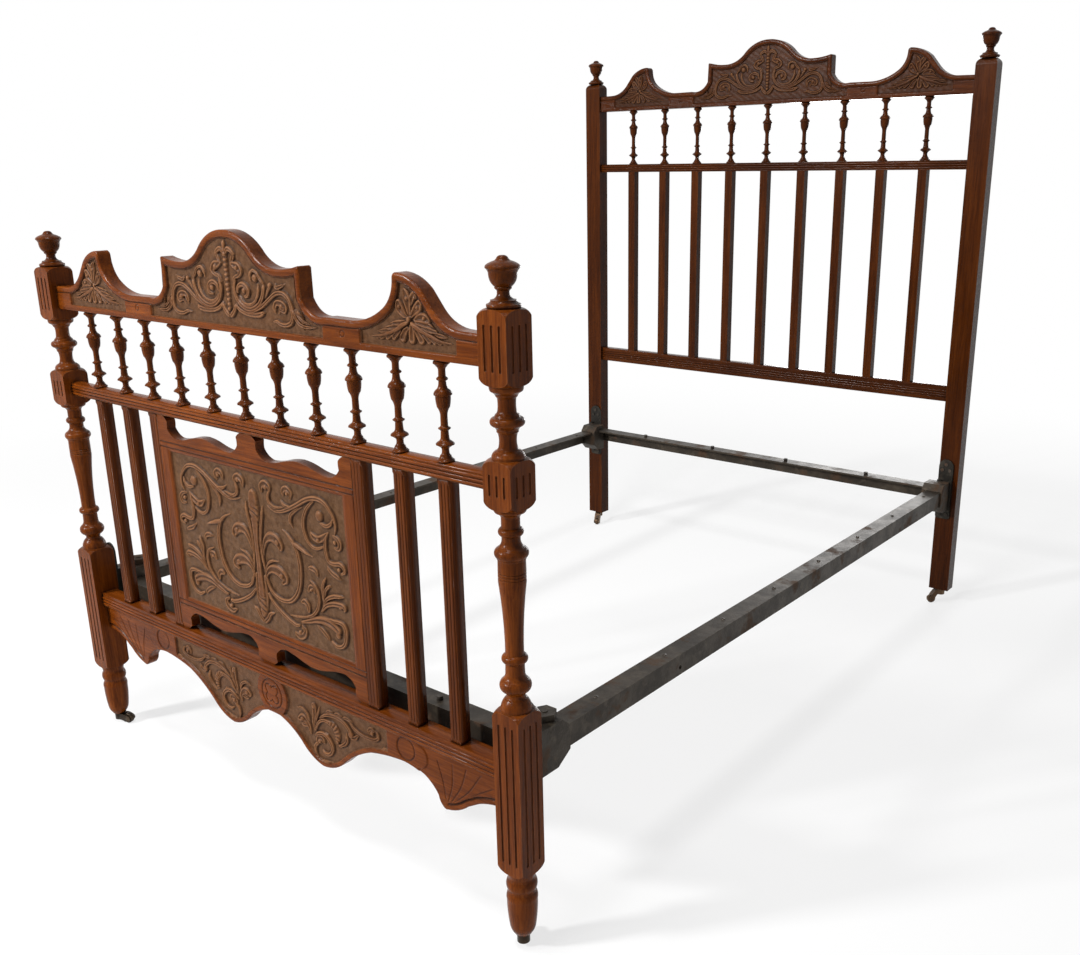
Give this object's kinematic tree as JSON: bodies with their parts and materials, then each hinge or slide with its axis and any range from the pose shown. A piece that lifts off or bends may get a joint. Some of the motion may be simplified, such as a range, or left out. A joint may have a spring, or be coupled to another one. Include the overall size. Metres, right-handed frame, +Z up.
{
  "type": "spindle bed",
  "caption": "Double bed with turned foot posts, spindle rows, a carved panel and carved crest rails, an angle-iron frame hooked to plates on the posts, and small swivel casters.",
  "frame": {"origin": "on the floor under the middle of the bed, centred on its outer box", "axes": "+Z up, +Y from the foot end to the head end, +X to the right of someone who stands at the foot and looks at the head"},
  "size_m": [1.388, 2.009, 1.664],
  "materials": {
    "polished_wood": "old hardwood, red-brown stain under a worn wax polish",
    "angle_iron": "dark bare iron, rubbed along its edges, with rust spots",
    "cast_iron": "rough black casting",
    "fastener": "dull steel, rusted",
    "caster_metal": "dull brown brass",
    "caster_wheel": "dull brown brass, worn on the tread"
  },
  "bodies": {
    "bed": {"foot_post_left": "polished_wood", "head_post_left": "polished_wood", "finial_foot_left": "polished_wood", "finial_head_left": "polished_wood", "side_rail_left": "angle_iron", "post_plate_foot_left": "cast_iron", "corner_casting_foot_left": "cast_iron", "post_plate_head_left": "cast_iron", "corner_casting_head_left": "cast_iron", "foot_post_right": "polished_wood", "head_post_right": "polished_wood", "finial_foot_right": "polished_wood", "finial_head_right": "polished_wood", "side_rail_right": "angle_iron", "post_plate_foot_right": "cast_iron", "corner_casting_foot_right": "cast_iron", "post_plate_head_right": "cast_iron", "corner_casting_head_right": "cast_iron", "foot_crest_rail": "polished_wood", "head_crest_rail": "polished_wood", "foot_mid_rail": "polished_wood", "foot_apron_rail": "polished_wood", "head_mid_rail": "polished_wood", "head_low_rail": "polished_wood", "foot_spindles": "polished_wood", "head_spindles": "polished_wood", "foot_slat_1": "polished_wood", "foot_slat_2": "polished_wood", "foot_slat_3": "polished_wood", "foot_slat_4": "polished_wood", "head_slats": "polished_wood", "panel_stile_left": "polished_wood", "panel_stile_right": "polished_wood", "carved_panel": "polished_wood", "panel_top_fret": "polished_wood", "panel_bottom_fret": "polished_wood", "foot_cross_iron": "angle_iron", "head_cross_iron": "angle_iron", "lath_studs": "fastener", "rail_rivets": "fastener", "plate_screws": "fastener", "corner_bolts": "fastener", "caster_cup_foot_left": "caster_metal", "caster_cup_foot_right": "caster_metal", "caster_cup_head_left": "caster_metal", "caster_cup_head_right": "caster_metal"},
    "horn_foot_left": {"caster_horn_foot_left": "caster_metal", "caster_axle_foot_left": "fastener"},
    "wheel_foot_left": {"caster_wheel_foot_left": "caster_wheel"},
    "horn_foot_right": {"caster_horn_foot_right": "caster_metal", "caster_axle_foot_right": "fastener"},
    "wheel_foot_right": {"caster_wheel_foot_right": "caster_wheel"},
    "horn_head_left": {"caster_horn_head_left": "caster_metal", "caster_axle_head_left": "fastener"},
    "wheel_head_left": {"caster_wheel_head_left": "caster_wheel"},
    "horn_head_right": {"caster_horn_head_right": "caster_metal", "caster_axle_head_right": "fastener"},
    "wheel_head_right": {"caster_wheel_head_right": "caster_wheel"}
  },
  "joints": [
    {"name": "swivel_foot_left", "type": "hinge", "parent": "bed", "child": "horn_foot_left", "pos_m": [-0.665, -0.976, 0.03], "axis": [0, 0, 1], "continuous": true},
    {"name": "roll_foot_left", "type": "hinge", "parent": "horn_foot_left", "child": "wheel_foot_left", "pos_m": [-0.63918, -0.96811, 0.0125], "axis": [-0.2924, 0.9563, 0], "continuous": true},
    {"name": "swivel_foot_right", "type": "hinge", "parent": "bed", "child": "horn_foot_right", "pos_m": [0.665, -0.976, 0.03], "axis": [0, 0, 1], "continuous": true},
    {"name": "roll_foot_right", "type": "hinge", "parent": "horn_foot_right", "child": "wheel_foot_right", "pos_m": [0.64676, -0.95609, 0.0125], "axis": [-0.7373, -0.6756, 0], "continuous": true},
    {"name": "swivel_head_left", "type": "hinge", "parent": "bed", "child": "horn_head_left", "pos_m": [-0.665, 0.9785, 0.03], "axis": [0, 0, 1], "continuous": true},
    {"name": "roll_head_left", "type": "hinge", "parent": "horn_head_left", "child": "wheel_head_left", "pos_m": [-0.65515, 0.95336, 0.0125], "axis": [0.9311, 0.3649, 0], "continuous": true},
    {"name": "swivel_head_right", "type": "hinge", "parent": "bed", "child": "horn_head_right", "pos_m": [0.665, 0.9785, 0.03], "axis": [0, 0, 1], "continuous": true},
    {"name": "roll_head_right", "type": "hinge", "parent": "horn_head_right", "child": "wheel_head_right", "pos_m": [0.64447, 0.96097, 0.0125], "axis": [0.6494, -0.7604, 0], "continuous": true}
  ]
}
